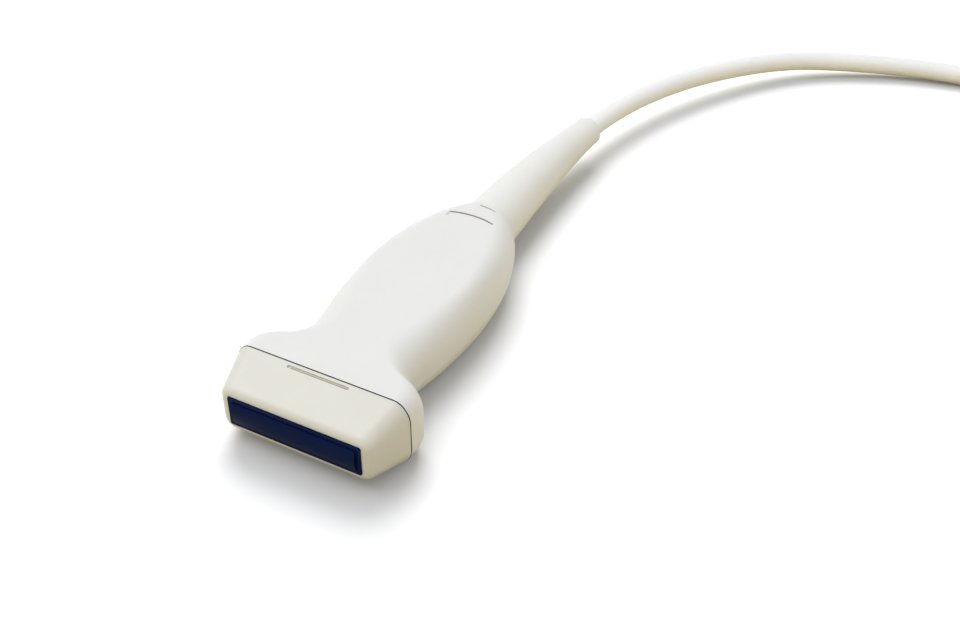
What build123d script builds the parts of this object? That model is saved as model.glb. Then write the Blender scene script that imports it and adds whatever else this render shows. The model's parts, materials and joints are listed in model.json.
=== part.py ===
from build123d import *
from math import cos, radians, sin, tan
import os

os.makedirs("parts", exist_ok=True)

# The probe lies flat. X runs across it, +Y from the lens towards the cable, +Z up from the table.
# Driving dimensions, in millimetres.

# Acoustic stack
element_pitch = 0.3
element_count = 128
element_height = 5.0
element_thickness = 0.5
kerf = 0.06
kerf_depth = 0.4
outer_matching_thickness = 0.3
inner_matching_thickness = 0.4
stack_margin = 0.5
backing_depth = 6.8
flex_gap = 0.45
frame_wall = 1.9
frame_depth = 9.4
frame_corner = 1.0

# Lens
lens_margin = 2.8
lens_height = 10.2
lens_corner = 0.6
lens_proud = 0.35
lens_step_inset = 1.5
lens_step_rise = 0.4
lens_crown_rise = 0.5
lens_depth = 2.0
window_gap = 0.1

# Nosepiece
nose_length = 14.55
nose_wall = 2.4
nose_front_height = 14.8
nose_front_corner_width = 4.0
nose_front_corner_height = 3.4
nose_rim_radius = 2.6
pocket_gap = 0.3
pocket_height = 11.2
pocket_corner = 1.0
collar_depth = 2.4
tongue_length = 3.2
tongue_wall = 1.2
tongue_gap = 0.15
marker_length = 20.6
marker_width = 0.95
marker_depth = 0.6
marker_setback = 1.35

# Seam seal
seam_gap = 0.4
seal_inset = 0.1

# Housing
thickness = 23.0
head_flare = 4.6
head_corner_width = 5.2
head_corner_height = 6.8
waist_width = 36.6
waist_corner_width = 9.2
waist_corner_height = 9.4
grip_width = 42.3
grip_corner_width = 5.6
grip_corner_height = 10.2
rear_width = 20.2
rear_height = 20.6
rear_corner_width = 9.4
rear_corner_height = 9.6
shoulder_length = 20.6
waist_to_grip_length = 34.5
grip_to_rear_length = 42.5
wall = 2.4
rear_wall = 3.0
lip_wall = 1.1
lip_height = 1.0
lip_gap = 0.06
rib_thickness = 1.6
rib_count = 3
rib_inset = 4.0

# Label recess near the rear of the upper housing
label_width = 16.0
label_length = 3.0
label_arc_rise = 1.4
label_depth = 0.4
label_setback = 10.2

# Electronics
board_side_gap = 1.4
board_length = 46.0
board_thickness = 1.2
board_corner = 1.5
board_height_gap = 0.9
board_setback = 27.0
socket_margin = 1.5
socket_length = 4.0
socket_height = 1.7
socket_setback = 1.0
flex_thickness = 0.2
flex_margin = 1.0
flex_lead = 3.0
shield_side_gap = 1.7
shield_height_gap = 1.6
shield_corner = 2.4
shield_wall = 0.3
shield_margin = 2.0
spacer_radius = 1.4
spacer_inset = 2.6

# Cable and what holds it
cable_radius = 3.7
bond_gap = 0.05
ferrule_wall = 0.8
ferrule_length = 6.5
ferrule_setback = 1.2
clamp_width = 21.0
clamp_height = 12.4
clamp_length = 5.4
clamp_corner = 0.8
clamp_parting = 0.3
clamp_pad_length = 7.0
clamp_screw_radius = 1.0
clamp_screw_head_radius = 1.9
clamp_screw_head_height = 1.3
clamp_screw_spacing = 14.6
clamp_screw_end = 1.0
bundle_radius = 3.1
bundle_width = 16.0
bundle_corner = 1.0
bundle_lap = 7.0
bundle_fan_length = 9.0

# Strain relief boot
boot_base_radius = 9.7
boot_base_edge = 0.4
boot_end_radius = 5.4
boot_lip_radius = 1.3
boot_neck_radius = 7.4
boot_flange_radius = 7.8
boot_flange_length = 2.4
boot_straight_length = 18.0
boot_bend_length = 56.6
boot_bend_angle = 7.0

# System connector: its centre, then its pieces
plug_x = 222.0
plug_y = 16.0
shell_length = 84.0
shell_height = 44.0
shell_thickness = 30.0
shell_corner = 8.0
shell_edge = 2.5
shell_wall = 2.2
shell_screw_radius = 1.5
shell_screw_gap = 0.05
shell_screw_head_radius = 2.5
shell_screw_head_height = 1.8
shell_screw_end = 3.0
shell_boss_radius = 3.4
shell_boss_inset = 6.0
nose_frame_length = 52.0
nose_frame_height = 30.0
nose_frame_corner = 3.0
nose_frame_wall = 2.0
nose_frame_reach = 7.0
nose_frame_flange = 1.6
nose_frame_overhang = 1.8
nose_frame_shift = 5.0
contact_gap = 0.1
contact_block_depth = 13.0
contact_block_corner = 1.0
contact_pad = 1.5
contact_pad_rise = 0.25
contact_pitch = 2.6
contact_columns = 5
contact_rows = 9
contact_field_spacing = 27.0
contact_board_thickness = 1.6
contact_board_length = 50.0
contact_board_height = 29.0
lock_radius = 4.0
lock_running_gap = 0.08
lock_clearance = 0.8
lock_reach = 10.0
lock_head_length = 13.0
lock_head_width = 5.0
lock_head_thickness = 3.2
lock_square = 5.4
lock_square_length = 7.0
bush_radius = 6.2
bush_flange_radius = 8.0
bush_flange_thickness = 1.6
bush_length = 7.6
clip_thickness = 1.0
clip_radius = 6.4
clip_gap = 0.2
clip_groove_depth = 0.7
handle_disc_radius = 11.0
handle_disc_thickness = 3.0
handle_gap = 0.4
handle_span = 36.0
handle_bar_width = 9.0
handle_height = 11.0
handle_edge = 1.4
plug_boot_base_radius = 7.6
plug_boot_end_radius = 5.2
plug_boot_length = 30.0
plug_boot_lip_radius = 1.0
plug_boot_neck_radius = 6.0
plug_boot_flange_radius = 7.4
plug_boot_flange_length = 2.2
harness_radius = 3.1
harness_width = 22.0
harness_thickness = 2.4
harness_corner = 0.8
harness_end_length = 6.0
harness_fan_length = 14.0

# Coil of the put-away cable: its turns lie side by side, in layers, about an upright axis
coil_columns = 3
coil_layers = 2
coil_turn_radius = 40.5
coil_x = 183.0
coil_y = 171.4

# One overrun serves every cut
overrun = 1.0

# Widths of the head, which follow from the array
aperture = element_pitch * element_count
lens_width = aperture + 2 * lens_margin
pocket_width = lens_width + 2 * pocket_gap
nose_front_width = pocket_width + 2 * nose_wall
head_width = nose_front_width + 2 * head_flare

# Electronics, which fit the inside of the housing
shield_width = waist_width - 2 * (wall + shield_side_gap)
shield_height = thickness - 2 * (wall + shield_height_gap)
board_width = shield_width - 2 * (shield_wall + board_side_gap)
board_spacing = shield_height - 2 * shield_wall - 2 * socket_height - board_thickness - 2 * board_height_gap
socket_width = board_width - 2 * socket_margin
flex_tail_width = socket_width - 2 * flex_margin

# A form is half width, half height, corner width and corner height
head_form = (head_width / 2, thickness / 2, head_corner_width, head_corner_height)
waist_form = (waist_width / 2, thickness / 2, waist_corner_width, waist_corner_height)
grip_form = (grip_width / 2, thickness / 2, grip_corner_width, grip_corner_height)
rear_form = (rear_width / 2, rear_height / 2, rear_corner_width, rear_corner_height)
nose_form = (nose_front_width / 2, nose_front_height / 2, nose_front_corner_width, nose_front_corner_height)
pocket_form = (pocket_width / 2, pocket_height / 2, pocket_corner, pocket_corner)

# Each pair is a place along its zone and how far the width and height have changed there
shoulder_shares = (
    (0.0, 0.034), (0.09, 0.016), (0.18, 0.0), (0.26, 0.002), (0.33, 0.035), (0.453, 0.235), (0.577, 0.61),
    (0.7, 0.815), (0.83, 0.945)
)
waist_shares = ((0.0, 0.0), (0.13, 0.1), (0.3, 0.43), (0.535, 0.78), (0.77, 0.95))
rear_shares = (
    (0.0, 0.0), (0.165, 0.014), (0.33, 0.068), (0.54, 0.215), (0.705, 0.41), (0.82, 0.584), (0.916, 0.787), (1.0, 1.0)
)
boot_shares = ((0.0, 0.0), (0.15, 0.12), (0.32, 0.265), (0.5, 0.45), (0.68, 0.68), (0.86, 0.9), (1.0, 1.0))

# Places along the probe
lens_reach = lens_proud + lens_step_rise + lens_crown_rise
housing_length = shoulder_length + waist_to_grip_length + grip_to_rear_length
bend_radius = boot_bend_length / radians(boot_bend_angle)
bend_reach = bend_radius * sin(radians(boot_bend_angle))
bend_drift = bend_radius - bend_radius * cos(radians(boot_bend_angle))
boot_reach = boot_straight_length + bend_reach + (boot_end_radius - boot_lip_radius) * sin(radians(boot_bend_angle))
overall_length = lens_reach + nose_length + seam_gap + housing_length + boot_reach
mid_height = thickness / 2
nose_front = lens_reach - overall_length / 2
nose_back = nose_front + nose_length
housing_front = nose_back + seam_gap
waist_place = housing_front + shoulder_length
grip_place = waist_place + waist_to_grip_length
housing_rear = grip_place + grip_to_rear_length
rear_wall_front = housing_rear - rear_wall
boot_front = rear_wall_front - boot_flange_length
bend_start = housing_rear + boot_straight_length
boards_front = housing_front + board_setback
boards_rear = boards_front + board_length
jacket_front = boards_rear + bundle_fan_length
ferrule_front = jacket_front + ferrule_setback
clamp_middle = ferrule_front + ferrule_length / 2


def blend(first, second, share, corner_share):
    """A form part of the way from one form to another. Its corners have a share of their own."""
    shares = (share, share, corner_share, corner_share)
    return tuple(a + (b - a) * part for a, b, part in zip(first, second, shares))


def across(place):
    """The plane that stands across the probe at a place along Y, centred at mid height. It faces the cable."""
    return Plane(origin=(0, place, mid_height), x_dir=(-1, 0, 0), z_dir=(0, 1, 0))


def slab_section(place, form, inset):
    """A flat-topped section of the handpiece with elliptical corners, drawn in from its form by an inset."""
    half_width, half_height = form[0] - inset, form[1] - inset
    corner_width, corner_height = max(form[2] - inset, inset), max(form[3] - inset, inset)
    flat, side = half_width - corner_width, half_height - corner_height
    with BuildLine() as outline:
        Line((-flat, half_height), (flat, half_height))
        EllipticalCenterArc((flat, side), corner_width, corner_height, 0, arc_size=90)
        Line((half_width, side), (half_width, -side))
        EllipticalCenterArc((flat, -side), corner_width, corner_height, -90, arc_size=90)
        Line((flat, -half_height), (-flat, -half_height))
        EllipticalCenterArc((-flat, -side), corner_width, corner_height, 180, arc_size=90)
        Line((-half_width, -side), (-half_width, side))
        EllipticalCenterArc((-flat, side), corner_width, corner_height, 90, arc_size=90)
    with BuildSketch(across(place)) as section:
        make_face(outline.line)
    return section.sketch


def housing_sections(inset=0):
    """The housing's sections from the seam to its rear end."""
    zones = (
        (housing_front, shoulder_length, head_form, waist_form, shoulder_shares),
        (waist_place, waist_to_grip_length, waist_form, grip_form, waist_shares),
        (grip_place, grip_to_rear_length, grip_form, rear_form, rear_shares),
    )
    sections = []
    for start, length, first, second, shares in zones:
        for place_share, form_share in shares:
            form = blend(first, second, form_share, place_share)
            sections.append(slab_section(start + length * place_share, form, inset))
    return sections


def disc(plane, radius):
    """A round section on a plane."""
    with BuildSketch(plane) as section:
        Circle(radius)
    return section.sketch


seam_form = blend(head_form, waist_form, shoulder_shares[0][1], 0)


def nose_sections(inset=0):
    """The nosepiece's two sections, at its front face and at the seam."""
    return [slab_section(nose_front, nose_form, inset), slab_section(nose_back, seam_form, inset)]


# Acoustic lens: a flange that fills the window, with a raised and crowned centre
step_front = nose_front - lens_proud - lens_step_rise
crown_half_height = lens_height / 2 - lens_step_inset

with BuildPart() as acoustic_lens:
    with BuildSketch(across(nose_front - lens_proud)):
        RectangleRounded(lens_width, lens_height, lens_corner)
    extrude(amount=lens_proud + lens_depth)
    with BuildSketch(Plane.YZ):
        with BuildLine():
            step_low = (step_front, mid_height - crown_half_height)
            step_high = (step_front, mid_height + crown_half_height)
            crown_low = (nose_front - lens_proud, mid_height - crown_half_height)
            crown_high = (nose_front - lens_proud, mid_height + crown_half_height)
            Polyline(step_low, crown_low, crown_high, step_high)
            ThreePointArc(step_low, (step_front - lens_crown_rise, mid_height), step_high)
        make_face()
    extrude(amount=lens_width / 2 - lens_step_inset, both=True)
acoustic_lens.part.label = "acoustic_lens"

# Nosepiece: the tapered front shell, its window, the pocket behind it and the tongue that enters the housing
with BuildPart() as marker_cut:
    with BuildSketch(Plane((0, nose_back - marker_setback, mid_height))):
        SlotOverall(marker_length, marker_width)
    extrude(amount=thickness)
    loft(nose_sections(marker_depth), ruled=True, mode=Mode.SUBTRACT)

tongue_outer_inset = wall + tongue_gap
tongue_inner_inset = tongue_outer_inset + tongue_wall

with BuildPart() as nosepiece:
    loft(nose_sections(), ruled=True)
    front_face = nosepiece.faces().sort_by(Axis.Y)[0]
    fillet(front_face.edges(), radius=nose_rim_radius)
    extrude(slab_section(nose_back, seam_form, tongue_outer_inset), amount=tongue_length)
    pocket_front = slab_section(nose_front + lens_depth, pocket_form, 0)
    pocket_back = slab_section(nose_back - collar_depth, seam_form, tongue_inner_inset)
    loft([pocket_front, pocket_back], ruled=True, mode=Mode.SUBTRACT)
    extrude(pocket_back, amount=collar_depth + tongue_length + overrun, mode=Mode.SUBTRACT)
    with BuildSketch(across(nose_front - overrun)):
        RectangleRounded(lens_width + 2 * window_gap, lens_height + 2 * window_gap, lens_corner + window_gap)
    extrude(amount=lens_depth + 2 * overrun, mode=Mode.SUBTRACT)
    add(marker_cut.part, mode=Mode.SUBTRACT)
nosepiece.part.label = "nosepiece"

# Seam seal: a bead round the tongue, a little below the outer surface
with BuildPart() as seam_seal:
    extrude(slab_section(nose_back, seam_form, seal_inset), amount=seam_gap)
    extrude(slab_section(nose_back, seam_form, tongue_outer_inset - bond_gap), amount=seam_gap, mode=Mode.SUBTRACT)
seam_seal.part.label = "seam_seal"

# Acoustic stack behind the lens, front to back
stack_width = aperture + 2 * stack_margin
stack_height = element_height + 2 * stack_margin
stack_front = nose_front + lens_depth
inner_matching_front = stack_front + outer_matching_thickness
elements_front = inner_matching_front + inner_matching_thickness
backing_front = elements_front + element_thickness

with BuildPart() as outer_matching_layer:
    with BuildSketch(across(stack_front)):
        Rectangle(aperture, element_height)
    extrude(amount=outer_matching_thickness)
outer_matching_layer.part.label = "outer_matching_layer"

with BuildPart() as inner_matching_layer:
    with BuildSketch(across(inner_matching_front)):
        Rectangle(aperture, element_height)
    extrude(amount=inner_matching_thickness)
inner_matching_layer.part.label = "inner_matching_layer"

with BuildPart() as element_array:
    with BuildSketch(across(elements_front)):
        Rectangle(aperture, element_height)
    extrude(amount=element_thickness)
    with BuildSketch(across(elements_front)):
        with GridLocations(element_pitch, 0, element_count - 1, 1):
            Rectangle(kerf, element_height + overrun)
    extrude(amount=kerf_depth, mode=Mode.SUBTRACT)
element_array.part.label = "element_array"

with BuildPart() as backing_block:
    with BuildSketch(across(backing_front)):
        Rectangle(stack_width, stack_height)
    extrude(amount=backing_depth)
backing_block.part.label = "backing_block"

array_opening_width = stack_width + 2 * window_gap
array_opening_height = stack_height + 2 * flex_gap

with BuildPart() as array_frame:
    with BuildSketch(across(stack_front)):
        RectangleRounded(array_opening_width + 2 * frame_wall, array_opening_height + 2 * frame_wall, frame_corner)
        Rectangle(array_opening_width, array_opening_height, mode=Mode.SUBTRACT)
    extrude(amount=frame_depth)
array_frame.part.label = "array_frame"

# Boards, one above the other, with a socket on the outer face of each
board_outer = board_spacing / 2 + board_thickness / 2
board_inner = board_spacing / 2 - board_thickness / 2
board_middle = boards_front + board_length / 2
middle_plane = Plane.XY.offset(mid_height)

with BuildPart() as upper_board:
    with BuildSketch(Plane((0, board_middle, mid_height + board_inner))):
        RectangleRounded(board_width, board_length, board_corner)
    extrude(amount=board_thickness)
upper_board.part.label = "upper_board"

with BuildPart() as lower_board:
    mirror(upper_board.part, about=middle_plane)
lower_board.part.label = "lower_board"

socket_front = boards_front + socket_setback

with BuildPart() as upper_socket:
    with BuildSketch(Plane((0, socket_front + socket_length / 2, mid_height + board_outer))):
        Rectangle(socket_width, socket_length)
    extrude(amount=socket_height)
    chamfer(upper_socket.faces().sort_by(Axis.Z)[-1].edges(), length=socket_height / 4)
upper_socket.part.label = "upper_socket"

with BuildPart() as lower_socket:
    mirror(upper_socket.part, about=middle_plane)
lower_socket.part.label = "lower_socket"

# Flexible circuits: from the side of the stack, back and outwards to the sockets, narrowing on the way
flex_low = mid_height + stack_height / 2 + bond_gap
flex_high = mid_height + board_outer + socket_height / 2
flex_rise_start = stack_front + frame_depth + flex_lead
flex_rise_end = socket_front - flex_lead

with BuildPart() as upper_flex:
    with BuildSketch(Plane.YZ):
        with BuildLine():
            Polyline(
                (backing_front, flex_low),
                (flex_rise_start, flex_low),
                (flex_rise_end, flex_high),
                (socket_front, flex_high),
                (socket_front, flex_high + flex_thickness),
                (flex_rise_end, flex_high + flex_thickness),
                (flex_rise_start, flex_low + flex_thickness),
                (backing_front, flex_low + flex_thickness),
                close=True,
            )
        make_face()
    extrude(amount=aperture / 2, both=True)
    with BuildSketch(middle_plane):
        with BuildLine():
            Polyline(
                (-aperture / 2, backing_front),
                (aperture / 2, backing_front),
                (aperture / 2, flex_rise_start),
                (flex_tail_width / 2, flex_rise_end),
                (flex_tail_width / 2, socket_front),
                (-flex_tail_width / 2, socket_front),
                (-flex_tail_width / 2, flex_rise_end),
                (-aperture / 2, flex_rise_start),
                close=True,
            )
        make_face()
    extrude(amount=thickness, mode=Mode.INTERSECT)
upper_flex.part.label = "upper_flex"

with BuildPart() as lower_flex:
    mirror(upper_flex.part, about=middle_plane)
lower_flex.part.label = "lower_flex"

# Shield sleeve round the boards, and the spacers that hold them in it
shield_front = boards_front - shield_margin
shield_rear = boards_rear + shield_margin

with BuildPart() as shield_sleeve:
    with BuildSketch(across(shield_front)):
        RectangleRounded(shield_width, shield_height, shield_corner)
        offset(amount=-shield_wall, mode=Mode.SUBTRACT)
    extrude(amount=shield_rear - shield_front)
shield_sleeve.part.label = "shield_sleeve"

spacer_front = socket_front + socket_length + spacer_inset
spacer_rear = boards_rear - spacer_inset
spacer_pitch_x = board_width - 2 * spacer_inset
spacer_reach = shield_height / 2 - shield_wall

with BuildPart() as board_spacers:
    for level, length in (
        (-spacer_reach, spacer_reach - board_outer),
        (-board_inner, 2 * board_inner),
        (board_outer, spacer_reach - board_outer),
    ):
        with BuildSketch(Plane((0, (spacer_front + spacer_rear) / 2, mid_height + level))):
            with GridLocations(spacer_pitch_x, spacer_rear - spacer_front, 2, 2):
                Circle(spacer_radius)
        extrude(amount=length)
board_spacers.part.label = "board_spacers"

# Fanned coaxial bundle between the boards, gathered into the jacket
with BuildPart() as coax_bundle:
    with BuildSketch(across(boards_rear - bundle_lap)):
        RectangleRounded(bundle_width, 2 * board_inner, bundle_corner)
    extrude(amount=bundle_lap)
    with BuildSketch(across(boards_rear)) as bundle_flat:
        RectangleRounded(bundle_width, 2 * board_inner, bundle_corner)
    loft([bundle_flat.sketch, disc(across(jacket_front), bundle_radius)])
coax_bundle.part.label = "coax_bundle"

# The cable's own line inside the probe: straight out of the clamp, then along the boot's bend
with BuildPart() as cable_entry:
    with BuildLine(middle_plane) as entry_line:
        straight = Line((0, jacket_front), (0, bend_start))
        JernArc(straight @ 1, straight % 1, bend_radius, -boot_bend_angle)
    with BuildSketch(across(jacket_front)):
        Circle(cable_radius)
    sweep()
cable_entry.part.label = "cable_entry"

ferrule_radius = cable_radius + bond_gap + ferrule_wall

with BuildPart() as braid_ferrule:
    with BuildSketch(across(ferrule_front)):
        Circle(ferrule_radius)
        Circle(cable_radius + bond_gap, mode=Mode.SUBTRACT)
    extrude(amount=ferrule_length)
braid_ferrule.part.label = "braid_ferrule"

# Cable clamp: two halves, drawn together on the ferrule by two screws from above
clamp_top = mid_height + clamp_height / 2
clamp_bottom = mid_height - clamp_height / 2

with BuildPart() as clamp_block:
    with BuildSketch(Plane((0, clamp_middle, clamp_bottom))):
        RectangleRounded(clamp_width, clamp_length, clamp_corner)
    extrude(amount=clamp_height)
    with BuildSketch(across(clamp_middle)):
        Circle(ferrule_radius + bond_gap)
    extrude(amount=clamp_length, both=True, mode=Mode.SUBTRACT)
    with Locations((0, clamp_middle, clamp_top)):
        with GridLocations(clamp_screw_spacing, 0, 2, 1):
            CounterBoreHole(
                clamp_screw_radius + bond_gap,
                clamp_screw_head_radius + bond_gap,
                clamp_screw_head_height,
                clamp_height - clamp_screw_end,
            )

with BuildPart() as upper_clamp:
    add(clamp_block.part)
    split(bisect_by=Plane.XY.offset(mid_height + clamp_parting / 2), keep=Keep.TOP)
upper_clamp.part.label = "upper_clamp"

with BuildPart() as lower_clamp:
    add(clamp_block.part)
    split(bisect_by=Plane.XY.offset(mid_height - clamp_parting / 2), keep=Keep.BOTTOM)
lower_clamp.part.label = "lower_clamp"

with BuildPart() as clamp_screws:
    with BuildSketch(Plane((0, clamp_middle, clamp_top - clamp_screw_head_height))):
        with GridLocations(clamp_screw_spacing, 0, 2, 1):
            Circle(clamp_screw_head_radius)
    extrude(amount=clamp_screw_head_height)
    with BuildSketch(Plane((0, clamp_middle, clamp_bottom + clamp_screw_end))):
        with GridLocations(clamp_screw_spacing, 0, 2, 1):
            Circle(clamp_screw_radius)
    extrude(amount=clamp_height - clamp_screw_head_height - clamp_screw_end)
clamp_screws.part.label = "clamp_screws"

# Housing: one waisted form, hollowed, ribbed for the shield and the clamp, and parted at mid height
rib_places = [
    shield_front + rib_inset + (shield_rear - shield_front - 2 * rib_inset) * step / (rib_count - 1)
    for step in range(rib_count)
]
seat_width = clamp_width + 2 * bond_gap
seat_height = clamp_height + 2 * bond_gap

with BuildPart() as housing_form:
    loft(housing_sections())

with BuildPart() as housing_hollow:
    loft(housing_sections(wall))
    extrude(slab_section(housing_front - overrun, seam_form, wall), amount=overrun)
    split(bisect_by=Plane((0, rear_wall_front, 0), z_dir=(0, 1, 0)), keep=Keep.BOTTOM)
    for place in rib_places:
        with BuildSketch(across(place - rib_thickness / 2)):
            Rectangle(head_width, thickness)
        extrude(amount=rib_thickness, mode=Mode.SUBTRACT)
    with BuildSketch(across(clamp_middle - clamp_pad_length / 2)):
        Rectangle(head_width, thickness)
    extrude(amount=clamp_pad_length, mode=Mode.SUBTRACT)
    with BuildSketch(across(shield_front)):
        RectangleRounded(shield_width + 2 * bond_gap, shield_height + 2 * bond_gap, shield_corner + bond_gap)
    extrude(amount=shield_rear - shield_front)
    with BuildSketch(across(clamp_middle)):
        Rectangle(seat_width, seat_height)
    extrude(amount=clamp_pad_length / 2 + bond_gap, both=True)
    with BuildSketch(across(boot_front)):
        Circle(boot_neck_radius + bond_gap)
    extrude(amount=boot_flange_length + rear_wall + overrun)

with BuildPart() as lip_band:
    with BuildSketch(Plane.XY.offset(mid_height - lip_height)):
        Rectangle(head_width, overall_length)
    extrude(amount=lip_height)

with BuildPart() as housing_lip:
    loft(housing_sections(wall - lip_wall))
    loft(housing_sections(wall), mode=Mode.SUBTRACT)
    add(lip_band.part, mode=Mode.INTERSECT)
    split(bisect_by=Plane((0, rear_wall_front, 0), z_dir=(0, 1, 0)), keep=Keep.BOTTOM)

with BuildPart() as lip_groove:
    loft(housing_sections(wall - lip_wall - lip_gap))
    with BuildSketch(Plane.XY.offset(mid_height - lip_height - lip_gap)):
        Rectangle(head_width, overall_length)
    extrude(amount=lip_height + 2 * lip_gap, mode=Mode.INTERSECT)
    split(bisect_by=Plane((0, rear_wall_front, 0), z_dir=(0, 1, 0)), keep=Keep.BOTTOM)

label_middle = housing_rear - label_setback
label_half = label_width / 2

with BuildPart() as label_cut:
    with BuildSketch(Plane((0, label_middle, mid_height))):
        with BuildLine():
            label_rear_left = (-label_half, label_length / 2 - label_arc_rise)
            label_rear_right = (label_half, label_length / 2 - label_arc_rise)
            label_front_left = (-label_half, -label_length / 2 - label_arc_rise)
            label_front_right = (label_half, -label_length / 2 - label_arc_rise)
            ThreePointArc(label_rear_left, (0, label_length / 2), label_rear_right)
            Line(label_rear_right, label_front_right)
            ThreePointArc(label_front_right, (0, -label_length / 2), label_front_left)
            Line(label_front_left, label_rear_left)
        make_face()
    extrude(amount=thickness)
    loft(housing_sections(label_depth), mode=Mode.SUBTRACT)

with BuildPart() as upper_housing:
    add(housing_form.part)
    add(housing_hollow.part, mode=Mode.SUBTRACT)
    add(label_cut.part, mode=Mode.SUBTRACT)
    split(bisect_by=middle_plane, keep=Keep.TOP)
    add(housing_lip.part)
upper_housing.part.label = "upper_housing"

with BuildPart() as lower_housing:
    add(housing_form.part)
    add(housing_hollow.part, mode=Mode.SUBTRACT)
    split(bisect_by=middle_plane, keep=Keep.BOTTOM)
    add(lip_groove.part, mode=Mode.SUBTRACT)
lower_housing.part.label = "lower_housing"

# Strain relief boot: a flange and neck held in the housing's rear wall, and a bent taper outside
with BuildPart() as strain_relief_boot:
    with BuildLine(middle_plane) as boot_line:
        straight = Line((0, housing_rear), (0, bend_start))
        JernArc(straight @ 1, straight % 1, bend_radius, -boot_bend_angle)
    boot_path = boot_line.wire()
    boot_sections = []
    for place_share, taper_share in boot_shares:
        radius = boot_base_radius + (boot_end_radius - boot_base_radius) * taper_share
        boot_sections.append(disc(Plane(boot_path.location_at(place_share)), radius))
    loft(boot_sections)
    boot_faces = strain_relief_boot.faces().filter_by(GeomType.PLANE).sort_by(Axis.Y)
    fillet(boot_faces[-1].edges(), radius=boot_lip_radius)
    fillet(boot_faces[0].edges(), radius=boot_base_edge)
    extrude(disc(across(rear_wall_front), boot_neck_radius), amount=rear_wall)
    extrude(disc(across(boot_front), boot_flange_radius), amount=boot_flange_length)
    sweep(disc(across(jacket_front), cable_radius + bond_gap), path=entry_line.wire(), mode=Mode.SUBTRACT)
strain_relief_boot.part.label = "strain_relief_boot"

# Coil: the closed outer shape of all its turns
turn_pitch = 2 * cable_radius
coil_width = coil_columns * turn_pitch
coil_height = coil_layers * turn_pitch

with BuildPart() as cable_coil:
    with BuildSketch(Plane(origin=(coil_x, coil_y, coil_height / 2), x_dir=(1, 0, 0), z_dir=(0, -1, 0))):
        with Locations((coil_turn_radius, 0)):
            RectangleRounded(coil_width, coil_height, cable_radius)
    revolve(axis=Axis((coil_x, coil_y, 0), (0, 0, 1)))
cable_coil.part.label = "cable_coil"


def corner_radii(points):
    """The radius of each corner of a route: 0.45 of its shorter run over the tangent of half the turn."""
    radii = []
    for before, corner, after in zip(points, points[1:], points[2:]):
        arriving, leaving = Vector(*corner) - Vector(*before), Vector(*after) - Vector(*corner)
        half_turn = radians(arriving.get_angle(leaving) / 2)
        radii.append(0.45 * min(arriving.length, leaving.length) / tan(half_turn))
    return radii


def section_at(points):
    """The plane across a route at its first point."""
    return Plane(origin=points[0], z_dir=Vector(*points[1]) - Vector(*points[0]))


# Cable from the boot's end, down to the table and round to the coil. Its points are chosen by hand.
boot_end_y = bend_start + bend_reach
cable_route = [
    (bend_drift, boot_end_y, mid_height),
    (6.1, 114.6, 11.4),
    (15.5, 146.0, 8.4),
    (29.0, 173.8, 5.2),
    (46.3, 193.7, 3.9),
    (66.7, 204.5, 3.7),
    (100.0, 214.4, 3.7),
    (141.5, 219.3, 3.7),
    (183.0, 219.3, 3.7),
]
cable_radii = corner_radii(cable_route)

with BuildPart() as cable:
    with BuildLine():
        FilletPolyline(*cable_route, radius=cable_radii)
    with BuildSketch(section_at(cable_route)):
        Circle(cable_radius)
    sweep()
cable.part.label = "cable"

# Tail from the coil's upper outer turn to the connector's boot
plug_height = shell_height / 2
plug_end = plug_y + shell_length / 2
tail_route = [
    (230.9, 171.4, 11.1),
    (230.9, 145.0, 11.1),
    (plug_x, 110.0, plug_height),
    (plug_x, plug_end + plug_boot_length, plug_height),
]
tail_radii = corner_radii(tail_route)

with BuildPart() as cable_tail:
    with BuildLine():
        FilletPolyline(*tail_route, radius=tail_radii)
    with BuildSketch(section_at(tail_route)):
        Circle(cable_radius)
    sweep()
cable_tail.part.label = "cable_tail"

# System connector: it rests on its narrow side, with its contacts towards -X and its lock handle towards +X.
# Places across it are measured from the plane where its two shells meet.
shell_face = shell_thickness / 2
shell_inner_face = shell_face - shell_wall
frame_y = plug_y - nose_frame_shift
frame_face = shell_face + nose_frame_reach
frame_back = shell_inner_face - nose_frame_flange
block_back = frame_face - contact_block_depth
board_back = block_back - contact_board_thickness
bush_front = shell_face - bush_length
flange_front = shell_inner_face - bush_flange_thickness
clip_back = bush_front - clip_gap
clip_front = clip_back - clip_thickness
handle_front = shell_face + handle_gap
board_end = frame_y + contact_board_length / 2
jacket_end = board_end + harness_fan_length


def upright(place, along=plug_y):
    """The connector's plane at a place across it. Local x runs along +Y and local y along +Z."""
    return Plane(origin=(plug_x + place, along, plug_height), x_dir=(0, 1, 0), z_dir=(1, 0, 0))


def plug_across(place):
    """The plane across the connector's cable at a place along Y. It faces the coil."""
    return Plane(origin=(plug_x, place, plug_height), x_dir=(-1, 0, 0), z_dir=(0, 1, 0))


boss_pitch_y = shell_length - 2 * shell_boss_inset
boss_pitch_z = shell_height - 2 * shell_boss_inset

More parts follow.
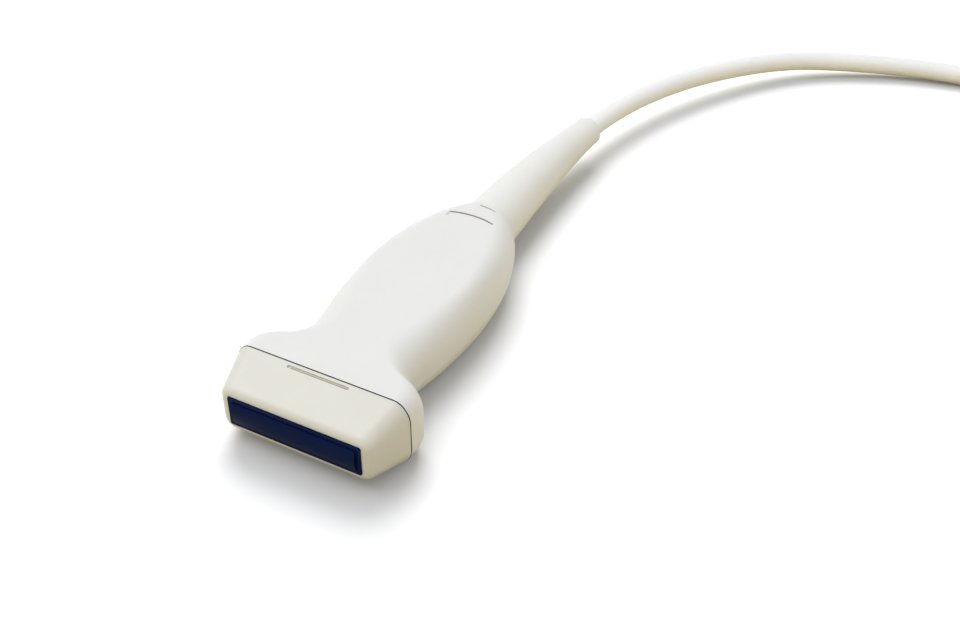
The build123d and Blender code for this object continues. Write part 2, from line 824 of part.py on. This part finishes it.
with BuildPart() as shell_form:
    with BuildSketch(upright(-shell_face)):
        RectangleRounded(shell_length, shell_height, shell_corner)
    extrude(amount=shell_thickness)
    fillet(shell_form.faces().filter_by(Plane.YZ).edges(), radius=shell_edge)
    with BuildSketch(upright(-shell_inner_face)):
        RectangleRounded(shell_length - 2 * shell_wall, shell_height - 2 * shell_wall, shell_corner - shell_wall)
        with GridLocations(boss_pitch_y, boss_pitch_z, 2, 2):
            Circle(shell_boss_radius, mode=Mode.SUBTRACT)
    extrude(amount=2 * shell_inner_face, mode=Mode.SUBTRACT)
    with BuildSketch(upright(-shell_face - overrun, frame_y)):
        RectangleRounded(
            nose_frame_length + 2 * bond_gap, nose_frame_height + 2 * bond_gap, nose_frame_corner + bond_gap
        )
    extrude(amount=shell_wall + 2 * overrun, mode=Mode.SUBTRACT)
    with BuildSketch(upright(shell_inner_face - overrun, frame_y)):
        Circle(bush_radius + bond_gap)
    extrude(amount=shell_wall + 2 * overrun, mode=Mode.SUBTRACT)
    with BuildSketch(plug_across(plug_end - shell_wall - overrun)):
        Circle(plug_boot_neck_radius + bond_gap)
    extrude(amount=shell_wall + 2 * overrun, mode=Mode.SUBTRACT)
    with Locations(upright(shell_face)):
        with GridLocations(boss_pitch_y, boss_pitch_z, 2, 2):
            CounterBoreHole(
                shell_screw_radius + shell_screw_gap,
                shell_screw_head_radius + shell_screw_gap,
                shell_screw_head_height,
                shell_thickness - shell_screw_end,
            )

with BuildPart() as connector_front_shell:
    add(shell_form.part)
    split(bisect_by=Plane(origin=(plug_x, 0, 0), z_dir=(1, 0, 0)), keep=Keep.BOTTOM)
connector_front_shell.part.label = "connector_front_shell"

with BuildPart() as connector_back_shell:
    add(shell_form.part)
    split(bisect_by=Plane(origin=(plug_x, 0, 0), z_dir=(1, 0, 0)), keep=Keep.TOP)
connector_back_shell.part.label = "connector_back_shell"

with BuildPart() as shell_screws:
    with BuildSketch(upright(shell_face - shell_screw_head_height)):
        with GridLocations(boss_pitch_y, boss_pitch_z, 2, 2):
            Circle(shell_screw_head_radius)
    extrude(amount=shell_screw_head_height)
    with BuildSketch(upright(shell_screw_end - shell_face)):
        with GridLocations(boss_pitch_y, boss_pitch_z, 2, 2):
            Circle(shell_screw_radius)
    extrude(amount=shell_thickness - shell_screw_end - shell_screw_head_height)
shell_screws.part.label = "shell_screws"

# Nose frame: the metal rim round the contacts, with a flange behind the shell's wall
with BuildPart() as nose_frame:
    with BuildSketch(upright(-frame_face, frame_y)):
        RectangleRounded(nose_frame_length, nose_frame_height, nose_frame_corner)
    extrude(amount=frame_face - frame_back)
    chamfer(nose_frame.faces().sort_by(Axis.X)[0].edges(), length=nose_frame_wall / 4)
    with BuildSketch(upright(-shell_inner_face, frame_y)):
        RectangleRounded(
            nose_frame_length + 2 * nose_frame_overhang,
            nose_frame_height + 2 * nose_frame_overhang,
            nose_frame_corner + nose_frame_overhang,
        )
    extrude(amount=nose_frame_flange)
    with BuildSketch(upright(-frame_face - overrun, frame_y)):
        RectangleRounded(
            nose_frame_length - 2 * nose_frame_wall, nose_frame_height - 2 * nose_frame_wall, contact_block_corner
        )
    extrude(amount=shell_thickness, mode=Mode.SUBTRACT)
nose_frame.part.label = "nose_frame"

block_length = nose_frame_length - 2 * nose_frame_wall - 2 * contact_gap
block_height = nose_frame_height - 2 * nose_frame_wall - 2 * contact_gap

with BuildPart() as contact_block:
    with BuildSketch(upright(-frame_face, frame_y)):
        RectangleRounded(block_length, block_height, contact_block_corner - contact_gap)
        Circle(lock_radius + lock_clearance, mode=Mode.SUBTRACT)
    extrude(amount=contact_block_depth)
contact_block.part.label = "contact_block"

with BuildPart() as contact_pads:
    with BuildSketch(upright(-frame_face - contact_pad_rise, frame_y)):
        with GridLocations(contact_field_spacing, 0, 2, 1):
            with GridLocations(contact_pitch, contact_pitch, contact_columns, contact_rows):
                Rectangle(contact_pad, contact_pad)
    extrude(amount=contact_pad_rise)
contact_pads.part.label = "contact_pads"

with BuildPart() as contact_board:
    with BuildSketch(upright(-block_back, frame_y)):
        RectangleRounded(contact_board_length, contact_board_height, contact_block_corner)
        Circle(lock_radius + lock_clearance, mode=Mode.SUBTRACT)
    extrude(amount=contact_board_thickness)
contact_board.part.label = "contact_board"

# Harness: from the jacket's end, fanned out flat and joined to the back of the contact board
harness_offset = board_back - harness_thickness / 2

with BuildPart() as connector_harness:
    with BuildSketch(plug_across(board_end).offset(-harness_end_length)):
        with Locations((harness_offset, 0)):
            RectangleRounded(harness_thickness, harness_width, harness_corner)
    extrude(amount=harness_end_length)
    with BuildSketch(plug_across(board_end)) as harness_flat:
        with Locations((harness_offset, 0)):
            RectangleRounded(harness_thickness, harness_width, harness_corner)
    loft([harness_flat.sketch, disc(plug_across(jacket_end), harness_radius)])
connector_harness.part.label = "connector_harness"

with BuildPart() as connector_cable_entry:
    extrude(disc(plug_across(jacket_end), cable_radius), amount=plug_end + plug_boot_length - jacket_end)
connector_cable_entry.part.label = "connector_cable_entry"

with BuildPart() as connector_boot:
    boot_section = [
        disc(plug_across(plug_end), plug_boot_base_radius),
        disc(plug_across(plug_end + plug_boot_length), plug_boot_end_radius),
    ]
    loft(boot_section)
    plug_boot_faces = connector_boot.faces().filter_by(GeomType.PLANE).sort_by(Axis.Y)
    fillet(plug_boot_faces[-1].edges(), radius=plug_boot_lip_radius)
    extrude(disc(plug_across(plug_end - shell_wall), plug_boot_neck_radius), amount=shell_wall)
    flange_place = plug_end - shell_wall - plug_boot_flange_length
    extrude(disc(plug_across(flange_place), plug_boot_flange_radius), amount=plug_boot_flange_length)
    with BuildSketch(plug_across(jacket_end)):
        Circle(cable_radius + bond_gap)
    extrude(amount=shell_length, mode=Mode.SUBTRACT)
connector_boot.part.label = "connector_boot"

# Lock: a shaft through the contacts with a cam head outside them, turned by a handle on the other side
with BuildPart() as lock_bush:
    with BuildSketch(upright(bush_front, frame_y)):
        Circle(bush_radius)
    extrude(amount=bush_length)
    with BuildSketch(upright(flange_front, frame_y)):
        Circle(bush_flange_radius)
    extrude(amount=bush_flange_thickness)
    with BuildSketch(upright(bush_front, frame_y)):
        Circle(lock_radius + lock_running_gap)
    extrude(amount=bush_length, mode=Mode.SUBTRACT)
lock_bush.part.label = "lock_bush"

shaft_front = frame_face + lock_reach

with BuildPart() as lock_shaft:
    with BuildSketch(upright(-shaft_front, frame_y)):
        Circle(lock_radius)
    extrude(amount=shaft_front + handle_front)
    with BuildSketch(upright(-shaft_front, frame_y)):
        SlotOverall(lock_head_length, lock_head_width)
    extrude(amount=lock_head_thickness)
    with BuildSketch(upright(handle_front, frame_y)):
        Rectangle(lock_square, lock_square)
    extrude(amount=lock_square_length)
    with BuildSketch(upright(clip_front, frame_y)):
        Circle(lock_radius)
        Circle(lock_radius - clip_groove_depth, mode=Mode.SUBTRACT)
    extrude(amount=clip_thickness, mode=Mode.SUBTRACT)
lock_shaft.part.label = "lock_shaft"

with BuildPart() as retaining_clip:
    with BuildSketch(upright(clip_front, frame_y)):
        Circle(clip_radius)
        Circle(lock_radius - clip_groove_depth, mode=Mode.SUBTRACT)
        with Locations((0, -clip_radius)):
            Rectangle(lock_radius, 2 * clip_radius, mode=Mode.SUBTRACT)
    extrude(amount=clip_thickness)
retaining_clip.part.label = "retaining_clip"

with BuildPart() as lock_handle:
    with BuildSketch(upright(handle_front, frame_y)):
        Circle(handle_disc_radius)
    extrude(amount=handle_disc_thickness)
    with BuildSketch(upright(handle_front, frame_y)):
        SlotOverall(handle_span, handle_bar_width)
    extrude(amount=handle_height)
    fillet(lock_handle.faces().sort_by(Axis.X)[-1].edges(), radius=handle_edge)
    with BuildSketch(upright(handle_front, frame_y)):
        Rectangle(lock_square + 2 * bond_gap, lock_square + 2 * bond_gap)
    extrude(amount=lock_square_length + bond_gap, mode=Mode.SUBTRACT)
lock_handle.part.label = "lock_handle"

pieces = (
    acoustic_lens, nosepiece, seam_seal, outer_matching_layer, inner_matching_layer, element_array,
    backing_block, array_frame, upper_flex, lower_flex, upper_board, lower_board, upper_socket, lower_socket,
    shield_sleeve, board_spacers, coax_bundle, cable_entry, braid_ferrule, upper_clamp, lower_clamp,
    clamp_screws, upper_housing, lower_housing, strain_relief_boot, cable, cable_coil, cable_tail,
    connector_front_shell, connector_back_shell, shell_screws, nose_frame, contact_block, contact_pads,
    contact_board, connector_harness, connector_cable_entry, connector_boot, lock_bush, lock_shaft,
    retaining_clip, lock_handle,
)
for piece in pieces:
    export_step(piece.part, f"parts/{piece.part.label}.step")

for name, radii in (("cable", cable_radii), ("cable_tail", tail_radii)):
    print(name, "corner radii", [round(radius, 1) for radius in radii])
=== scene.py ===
import json
import math

import bpy
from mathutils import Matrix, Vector


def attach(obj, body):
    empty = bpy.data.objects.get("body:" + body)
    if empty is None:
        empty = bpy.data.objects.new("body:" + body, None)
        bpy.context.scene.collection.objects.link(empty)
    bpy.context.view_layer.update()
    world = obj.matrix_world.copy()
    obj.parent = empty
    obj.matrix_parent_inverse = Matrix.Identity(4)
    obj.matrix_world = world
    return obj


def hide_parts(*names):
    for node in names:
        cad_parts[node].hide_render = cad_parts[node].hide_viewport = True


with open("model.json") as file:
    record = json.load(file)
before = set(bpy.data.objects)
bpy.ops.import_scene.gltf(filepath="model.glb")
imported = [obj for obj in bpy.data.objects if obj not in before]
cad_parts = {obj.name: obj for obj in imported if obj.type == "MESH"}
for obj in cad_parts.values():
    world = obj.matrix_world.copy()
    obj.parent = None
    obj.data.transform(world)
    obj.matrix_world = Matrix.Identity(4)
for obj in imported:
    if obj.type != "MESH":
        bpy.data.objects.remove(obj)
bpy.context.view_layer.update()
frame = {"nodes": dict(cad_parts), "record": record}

MM = 0.001
MID_HEIGHT = 11.5

# Camera of the photograph, in millimetres of the frame, and its near limit in metres
CAMERA_PLACE = (172.13, -302.91, 269.11)
CAMERA_TARGET = (20.34, -22.52, 10.0)
CAMERA_LENS = 50.0
CAMERA_SENSOR = 36.0
CAMERA_NEAR = 0.01

# Cable: its radius and route in millimetres
CABLE_RADIUS = 3.7
CABLE_ORDER = 3
CABLE_SIDES = 5
CABLE_STEPS = 6
BOOT_END = (3.45, 93.88, MID_HEIGHT)
CABLE_ROUTE = [
    BOOT_END,
    (5.7, 112.3, 11.3),
    (16.8, 143.5, 10.2),
    (31.8, 168.7, 8.6),
    (48.9, 188.9, 7.0),
    (68.2, 201.6, 5.4),
    (100.0, 214.5, 4.2),
    (141.5, 219.3, 3.7),
]
TAIL_ROUTE = [
    (230.9, 145.0, 18.9),
    (222.0, 110.0, 22.0),
    (222.0, 88.0, 22.0),
]

# Coil: one radius and one height for each turn, and the turn by which each crossover ends
COIL_CENTRE = (183.0, 171.4)
COIL_RADII = (47.9, 40.5, 33.1, 33.1, 40.5, 47.9, 47.9)
COIL_HEIGHTS = (3.7, 3.7, 3.7, 11.1, 11.1, 11.1, 18.5)
COIL_TURNS = 6.25
COIL_START_ANGLE = 90
POINTS_A_TURN = 40
CROSSOVER_SHARE = 0.2
CROSSOVER_ENDS = (1.0, 2.0, 2.9, 3.8, 4.8, 5.7)

# Fine lines, in millimetres in plan: the dark rear edge of the label recess, painted shade of its wall;
# a short edge by the strain relief; and the floor of the centre marker's groove, painted with its shade
EDGE_RADIUS = 0.105
MARKER_RADIUS = 0.3
LINE_SIDES = 2
LABEL_SHADE_LINE = [
    (-7.8, 9.24), (-6.0, 9.8), (-4.0, 10.24), (-2.0, 10.5), (0.0, 10.59), (2.0, 10.5), (4.0, 10.24),
    (6.0, 9.8), (7.8, 9.24), (7.88, 8.2), (7.88, 6.6),
]
COLLAR_EDGE = [(-1.0, 17.2), (1.0, 17.02), (3.0, 16.72), (5.0, 16.3)]
MARKER_FLOOR = [(-9.1, -79.98), (-4.0, -79.98), (0.5, -79.98), (5.0, -79.98), (9.95, -79.98)]
RAY_FROM = 60.0

# Bead of the seam seal: its place along Y, and the angle at which it starts and ends on the two sides
SEAM_RADIUS = 0.24
SEAM_PLACE = -78.38
SEAM_POINTS = 161
SEAM_LOW_ANGLE = -20.0

# Light: directions from the object, sizes and distances in metres, powers in watts
KEY_TOWARDS = (-0.62, -0.2, 1.5)
KEY_SIZE = 1.8
KEY_DISTANCE = 2.4
KEY_POWER = 24.4
FLOOR_KEY_TOWARDS = (-0.53, 0.85, 1.07)
FLOOR_KEY_SIZE = 1.6
FLOOR_KEY_POWER = 82.0
WORLD_STRENGTH = 0.67
WORLD_SEEN_STRENGTH = 1.0
WHITE = (1.0, 1.0, 1.0, 1)

# Floor: its colour where it is seen and where it lights the object, and its glow near and far, in metres
FLOOR_SIZE = 40
FLOOR_SEEN = (0.6, 0.603, 0.614, 1)
FLOOR_BOUNCE = (0.33, 0.27, 0.095, 1)
FLOOR_GLOW = 0.06
FAR_FLOOR_GLOW = 0.7
FAR_FLOOR_FROM = 0.6
FAR_FLOOR_TO = 2.4

# Textures: cell sizes in millimetres, and the parts of a noise's range that the colours and the gloss span
CLOUD_CELL = 18
CLOUD_DETAIL = 3.0
GRAIN_DETAIL = 2.0
MARKS_DETAIL = 3.0
BOARD_DETAIL = 4.0
COLOUR_FROM, COLOUR_TO = 0.35, 0.65
GLOSS_FROM, GLOSS_TO = 0.3, 0.7
GLOSS_BELOW, GLOSS_ABOVE = 0.08, 0.1
PLASTIC_IOR = 1.5
SCATTER_RADII = (1.0, 0.7, 0.45)
TRACE_CELL = 6
TRACE_GAP = 0.03
TRACE_RELIEF = 0.03
MASK_CELL = 2
MASK_ROUGH = (0.25, 0.4)


def place(point):
    """A point in metres, from one in millimetres."""
    return Vector(point) * MM


def material(name):
    """An empty node material with its shader and output linked."""
    made = bpy.data.materials.new(name)
    made.use_nodes = True
    nodes, links = made.node_tree.nodes, made.node_tree.links
    nodes.clear()
    shader = nodes.new("ShaderNodeBsdfPrincipled")
    output = nodes.new("ShaderNodeOutputMaterial")
    links.new(shader.outputs["BSDF"], output.inputs["Surface"])
    return made, nodes, links, shader


def noise(nodes, links, cell, detail, stretch=None):
    """A noise in the object's own space with cells of so many millimetres, drawn out if a stretch is given."""
    coordinates = nodes.new("ShaderNodeTexCoord")
    source = coordinates.outputs["Object"]
    if stretch:
        mapping = nodes.new("ShaderNodeMapping")
        mapping.inputs["Scale"].default_value = stretch
        links.new(source, mapping.inputs["Vector"])
        source = mapping.outputs["Vector"]
    texture = nodes.new("ShaderNodeTexNoise")
    texture.inputs["Scale"].default_value = 1 / (cell * MM)
    texture.inputs["Detail"].default_value = detail
    links.new(source, texture.inputs["Vector"])
    return texture.outputs["Fac"]


def ramp(nodes, links, source, low, high):
    """A colour between two colours."""
    made = nodes.new("ShaderNodeValToRGB")
    made.color_ramp.elements[0].color = (*low, 1)
    made.color_ramp.elements[1].color = (*high, 1)
    made.color_ramp.elements[0].position = COLOUR_FROM
    made.color_ramp.elements[1].position = COLOUR_TO
    links.new(source, made.inputs["Fac"])
    return made.outputs["Color"]


def map_range(nodes, links, source, span, low, high):
    """A value between two limits, over a span of the source."""
    made = nodes.new("ShaderNodeMapRange")
    made.inputs["From Min"].default_value, made.inputs["From Max"].default_value = span
    made.inputs["To Min"].default_value = low
    made.inputs["To Max"].default_value = high
    links.new(source, made.inputs["Value"])
    return made.outputs["Result"]


def bump(nodes, links, shader, source, height):
    """Relief of a stated height in millimetres."""
    made = nodes.new("ShaderNodeBump")
    made.inputs["Distance"].default_value = height * MM
    made.inputs["Strength"].default_value = 1.0
    links.new(source, made.inputs["Height"])
    links.new(made.outputs["Normal"], shader.inputs["Normal"])


def moulded(name, colour, shade, rough, grain, relief, cloud=0.06, scatter=0.0, specular=0.5, depth=2.0):
    """Moulded plastic or rubber: a fine grained texture, and a faint cloudiness in colour and gloss.

    The grain, its relief and the depth of scattering are in millimetres.
    """
    made, nodes, links, shader = material(name)
    clouds = noise(nodes, links, CLOUD_CELL, CLOUD_DETAIL)
    links.new(ramp(nodes, links, clouds, shade, colour), shader.inputs["Base Color"])
    grains = noise(nodes, links, grain, GRAIN_DETAIL)
    gloss = map_range(nodes, links, grains, (GLOSS_FROM, GLOSS_TO), rough - cloud, rough + cloud)
    links.new(gloss, shader.inputs["Roughness"])
    bump(nodes, links, shader, grains, relief)
    shader.inputs["IOR"].default_value = PLASTIC_IOR
    shader.inputs["Specular IOR Level"].default_value = specular
    if scatter:
        shader.inputs["Subsurface Weight"].default_value = scatter
        shader.inputs["Subsurface Radius"].default_value = SCATTER_RADII
        shader.inputs["Subsurface Scale"].default_value = depth * MM
    return made


def metal(name, colour, shade, rough, marks=0.5, relief=0.004, stretch=(1, 1, 1)):
    """Metal with fine tool marks, drawn out along the axes of small stretch."""
    made, nodes, links, shader = material(name)
    lines = noise(nodes, links, marks, MARKS_DETAIL, stretch)
    links.new(ramp(nodes, links, lines, shade, colour), shader.inputs["Base Color"])
    gloss = map_range(nodes, links, lines, (GLOSS_FROM, GLOSS_TO), rough - GLOSS_BELOW, rough + GLOSS_ABOVE)
    links.new(gloss, shader.inputs["Roughness"])
    bump(nodes, links, shader, lines, relief)
    shader.inputs["Metallic"].default_value = 1.0
    return made


def circuit(name, first, second, trace):
    """Solder mask of two close colours over a pattern of fine traces."""
    made, nodes, links, shader = material(name)
    coordinates = nodes.new("ShaderNodeTexCoord")
    bricks = nodes.new("ShaderNodeTexBrick")
    bricks.inputs["Scale"].default_value = 1 / (TRACE_CELL * MM)
    bricks.inputs["Color1"].default_value = (*first, 1)
    bricks.inputs["Color2"].default_value = (*second, 1)
    bricks.inputs["Mortar"].default_value = (*trace, 1)
    bricks.inputs["Mortar Size"].default_value = TRACE_GAP
    links.new(coordinates.outputs["Object"], bricks.inputs["Vector"])
    links.new(bricks.outputs["Color"], shader.inputs["Base Color"])
    grains = noise(nodes, links, MASK_CELL, BOARD_DETAIL)
    gloss = map_range(nodes, links, grains, (GLOSS_FROM, GLOSS_TO), *MASK_ROUGH)
    links.new(gloss, shader.inputs["Roughness"])
    bump(nodes, links, shader, bricks.outputs["Fac"], TRACE_RELIEF)
    return made


MATERIALS = {
    "lens_silicone": moulded(
        "lens", (0.003, 0.011, 0.068), (0.002, 0.009, 0.056), 0.2, 1.2, 0.003, cloud=0.05, specular=0.03,
    ),
    # Darker and yellower than the housing: partly the nose's own tone, partly painted shade of its sloping top
    "nose_plastic": moulded(
        "nose", (0.735, 0.725, 0.66), (0.72, 0.707, 0.642), 0.42, 0.35, 0.003, cloud=0.05, scatter=0.15,
    ),
    "housing_plastic": moulded(
        "housing", (0.825, 0.828, 0.81), (0.81, 0.81, 0.79), 0.42, 0.35, 0.003, cloud=0.05, scatter=0.15,
    ),
    "seal_rubber": moulded(
        "seal", (0.022, 0.014, 0.009), (0.016, 0.01, 0.007), 0.7, 0.4, 0.01, specular=0.2,
    ),
    "boot_rubber": moulded(
        "boot", (0.855, 0.855, 0.825), (0.835, 0.835, 0.8), 0.48, 0.4, 0.004, cloud=0.05, scatter=0.3,
    ),
    "cable_jacket": moulded(
        "jacket", (0.92, 0.94, 0.96), (0.9, 0.92, 0.94), 0.4, 0.6, 0.004, scatter=0.6, depth=3.0,
    ),
    "matching_resin": moulded("matching", (0.3, 0.27, 0.24), (0.22, 0.2, 0.18), 0.4, 0.3, 0.01),
    "array_ceramic": moulded("ceramic", (0.68, 0.63, 0.48), (0.6, 0.55, 0.42), 0.5, 0.2, 0.006),
    "backing_compound": moulded("backing", (0.05, 0.05, 0.055), (0.03, 0.03, 0.033), 0.65, 0.5, 0.03),
    "bare_aluminium": metal(
        "aluminium", (0.62, 0.63, 0.64), (0.48, 0.49, 0.505), 0.34, 0.3, 0.003, stretch=(1, 0.1, 1),
    ),
    "flex_film": moulded("film", (0.5, 0.2, 0.02), (0.42, 0.16, 0.015), 0.25, 0.5, 0.004),
    "circuit_board": circuit("board", (0.02, 0.17, 0.07), (0.03, 0.21, 0.09), (0.09, 0.3, 0.13)),
    "socket_plastic": moulded("socket", (0.03, 0.03, 0.032), (0.02, 0.02, 0.022), 0.45, 0.3, 0.006),
    "shield_copper": metal(
        "copper", (0.9, 0.52, 0.3), (0.75, 0.4, 0.22), 0.3, 0.8, 0.01, stretch=(1, 0.15, 1),
    ),
    "plated_steel": metal(
        "plated", (0.52, 0.52, 0.535), (0.37, 0.37, 0.385), 0.3, 0.4, 0.003, stretch=(0.2, 1, 1),
    ),
    "inner_wire": moulded("wires", (0.45, 0.45, 0.48), (0.2, 0.2, 0.22), 0.5, 0.3, 0.08),
    "clamp_plastic": moulded("clamp", (0.08, 0.08, 0.085), (0.06, 0.06, 0.065), 0.5, 0.3, 0.01),
    "shell_plastic": moulded(
        "shell", (0.8, 0.79, 0.765), (0.78, 0.77, 0.74), 0.45, 0.5, 0.012, scatter=0.1,
    ),
    "contact_gold": metal("gold", (1.0, 0.77, 0.34), (0.9, 0.64, 0.24), 0.2, 0.3, 0.002),
    "bush_bronze": metal("bronze", (0.72, 0.48, 0.24), (0.5, 0.33, 0.16), 0.42, 0.25, 0.01),
    "handle_plastic": moulded("handle", (0.05, 0.055, 0.065), (0.04, 0.045, 0.05), 0.42, 0.4, 0.015),
}
# Dark seal rubber: the seam bead, the line by the strain relief, and painted shade in the label recess
SEAL_AND_PAINTED_SHADE = MATERIALS["seal_rubber"]
# Painted shade: a dark brown laid on the floor of the centre marker's groove, in place of the groove's shade
MARKER_GROOVE_SHADE = moulded("marker", (0.44, 0.375, 0.26), (0.405, 0.345, 0.24), 0.5, 0.4, 0.004)


def dress_nodes():
    """Gives each CAD node the material of its slot."""
    slot_of = {entry["node"]: entry["material_slot"] for entry in frame["record"]["subparts"]}
    for name, node in frame["nodes"].items():
        for slot in node.material_slots:
            slot.material = MATERIALS[slot_of[name]]


def from_above(plan):
    """Rays straight down on points in plan, each as a start and a direction."""
    return [((across, along, RAY_FROM), (0, 0, -1)) for across, along in plan]


def from_around():
    """Rays inwards on the seam, from one side over the top to the other."""
    rays = []
    for step in range(SEAM_POINTS):
        turn = (180 - 2 * SEAM_LOW_ANGLE) * step / (SEAM_POINTS - 1)
        angle = math.radians(SEAM_LOW_ANGLE + turn)
        out = Vector((math.cos(angle), 0, math.sin(angle)))
        rays.append((Vector((0, SEAM_PLACE, MID_HEIGHT)) + out * RAY_FROM, -out))
    return rays


def tube(name, radius, sides, kind, points):
    """A curve of one spline through points in metres, with a round section and closed ends."""
    curve = bpy.data.curves.new(name, "CURVE")
    curve.dimensions = "3D"
    curve.bevel_depth = radius * MM
    curve.bevel_resolution = sides
    curve.use_fill_caps = True
    spline = curve.splines.new(kind)
    spline.points.add(len(points) - 1)
    for point, where in zip(spline.points, points):
        point.co = (*where, 1)
    made = bpy.data.objects.new(name, curve)
    bpy.context.scene.collection.objects.link(made)
    return made, curve, spline


def draw_line(name, node, rays, radius, paint):
    """A fine line laid on a CAD node where rays meet it."""
    ground = frame["nodes"][node]
    bpy.context.view_layer.update()
    to_ground = ground.matrix_world.inverted()
    points = []
    for start, ahead in rays:
        _, where, _, _ = ground.ray_cast(to_ground @ place(start), to_ground.to_3x3() @ Vector(ahead))
        points.append(ground.matrix_world @ where)
    line, curve, _ = tube(name, radius, LINE_SIDES, "POLY", points)
    curve.materials.append(paint)
    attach(line, "probe")


def coil_points():
    """The coil's turns, side by side in the lower layer, back again in the upper one, the last on top.

    The crossovers are staggered, each ahead of the one beneath or beside it, so that turns don't cut
    into each other.
    """
    points = []
    for step in range(round(COIL_TURNS * POINTS_A_TURN) + 1):
        turns = step / POINTS_A_TURN
        radius, height = COIL_RADII[0], COIL_HEIGHTS[0]
        for index, end in enumerate(CROSSOVER_ENDS):
            share = min(max((turns - end) / CROSSOVER_SHARE + 1, 0), 1)
            share = share * share * (3 - 2 * share)
            radius += (COIL_RADII[index + 1] - COIL_RADII[index]) * share
            height += (COIL_HEIGHTS[index + 1] - COIL_HEIGHTS[index]) * share
        angle = math.radians(COIL_START_ANGLE) - turns * 2 * math.pi
        points.append(
            (COIL_CENTRE[0] + radius * math.cos(angle), COIL_CENTRE[1] + radius * math.sin(angle), height)
        )
    return points


def lay_cable():
    """The cable from the boot to the connector, as one smooth curve."""
    route = [place(point) for point in CABLE_ROUTE + coil_points() + TAIL_ROUTE]
    cable, curve, spline = tube("cable_run", CABLE_RADIUS, CABLE_SIDES, "NURBS", route)
    curve.resolution_u = CABLE_STEPS
    spline.order_u = CABLE_ORDER
    spline.use_endpoint_u = True
    spline.use_smooth = True
    curve.materials.append(MATERIALS["cable_jacket"])
    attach(cable, "probe")
    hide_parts("cable", "cable_coil", "cable_tail")


def seen_background(nodes, links):
    """One for rays that show the background: to the camera, in a reflection or through glass."""
    light_path = nodes.new("ShaderNodeLightPath")
    seen = light_path.outputs["Is Camera Ray"]
    for kind in ("Is Glossy Ray", "Is Transmission Ray"):
        either = nodes.new("ShaderNodeMath")
        either.operation = "MAXIMUM"
        links.new(seen, either.inputs[0])
        links.new(light_path.outputs[kind], either.inputs[1])
        seen = either.outputs["Value"]
    return seen


def stage():
    """A pale floor that is white where it is seen, with the object's shadow on it."""
    bpy.ops.mesh.primitive_plane_add(size=FLOOR_SIZE)
    floor = bpy.context.object
    floor.name = "floor"
    made, nodes, links, shader = material("floor")
    seen = seen_background(nodes, links)
    tint = nodes.new("ShaderNodeMix")
    tint.data_type = "RGBA"
    tint.inputs["A"].default_value = FLOOR_BOUNCE
    tint.inputs["B"].default_value = FLOOR_SEEN
    links.new(seen, tint.inputs["Factor"])
    links.new(tint.outputs["Result"], shader.inputs["Base Color"])
    coordinates = nodes.new("ShaderNodeTexCoord")
    distance = nodes.new("ShaderNodeVectorMath")
    distance.operation = "LENGTH"
    links.new(coordinates.outputs["Object"], distance.inputs[0])
    far = map_range(
        nodes, links, distance.outputs["Value"], (FAR_FLOOR_FROM, FAR_FLOOR_TO), FLOOR_GLOW, FAR_FLOOR_GLOW,
    )
    glow = nodes.new("ShaderNodeMath")
    glow.operation = "MULTIPLY"
    links.new(far, glow.inputs[1])
    links.new(seen, glow.inputs[0])
    links.new(glow.outputs["Value"], shader.inputs["Emission Strength"])
    shader.inputs["Emission Color"].default_value = WHITE
    shader.inputs["Roughness"].default_value = 1.0
    shader.inputs["Specular IOR Level"].default_value = 0.0
    floor.data.materials.append(made)
    return floor


def aim(thing, target):
    """Turns a lamp or a camera towards a point."""
    direction = Vector(target) - thing.location
    thing.rotation_euler = direction.to_track_quat("-Z", "Y").to_euler()


def softbox(name, towards, size, power):
    """A large square lamp at the key distance, in a stated direction from the object."""
    lamp = bpy.data.lights.new(name, "AREA")
    lamp.shape = "SQUARE"
    lamp.size = size
    lamp.energy = power
    made = bpy.data.objects.new(name, lamp)
    bpy.context.scene.collection.objects.link(made)
    made.location = place(CAMERA_TARGET) + Vector(towards).normalized() * KEY_DISTANCE
    aim(made, place(CAMERA_TARGET))
    return made


def light(floor):
    """A soft key from above on the left, a lower one for the floor's shadow alone, and a pale world."""
    softbox("key", KEY_TOWARDS, KEY_SIZE, KEY_POWER)
    floor_key = softbox("floor_key", FLOOR_KEY_TOWARDS, FLOOR_KEY_SIZE, FLOOR_KEY_POWER)
    receivers = bpy.data.collections.new("floor_key_receivers")
    receivers.objects.link(floor)
    floor_key.light_linking.receiver_collection = receivers
    world = bpy.data.worlds.new("world")
    bpy.context.scene.world = world
    world.use_nodes = True
    nodes, links = world.node_tree.nodes, world.node_tree.links
    background = nodes["Background"]
    background.inputs["Color"].default_value = WHITE
    seen = seen_background(nodes, links)
    strength = map_range(nodes, links, seen, (0, 1), WORLD_STRENGTH, WORLD_SEEN_STRENGTH)
    links.new(strength, background.inputs["Strength"])


def camera():
    """The camera of the photograph."""
    data = bpy.data.cameras.new("camera")
    data.lens = CAMERA_LENS
    data.sensor_width = CAMERA_SENSOR
    data.clip_start = CAMERA_NEAR
    seen = bpy.data.objects.new("camera", data)
    bpy.context.scene.collection.objects.link(seen)
    seen.location = place(CAMERA_PLACE)
    aim(seen, place(CAMERA_TARGET))
    bpy.context.scene.camera = seen


bpy.context.scene.view_settings.view_transform = "Standard"
camera()
light(stage())
dress_nodes()
# Painted shade along the rear edge of the label recess, where its wall is in shadow
draw_line("label_recess_painted_shade", "upper_housing", from_above(LABEL_SHADE_LINE), EDGE_RADIUS, SEAL_AND_PAINTED_SHADE)
draw_line("collar_edge", "upper_housing", from_above(COLLAR_EDGE), EDGE_RADIUS, SEAL_AND_PAINTED_SHADE)
draw_line("seam_bead", "seam_seal", from_around(), SEAM_RADIUS, SEAL_AND_PAINTED_SHADE)
# Painted shade on the floor of the centre marker's groove
draw_line("marker_groove_painted_shade", "nosepiece", from_above(MARKER_FLOOR), MARKER_RADIUS, MARKER_GROOVE_SHADE)
lay_cable()
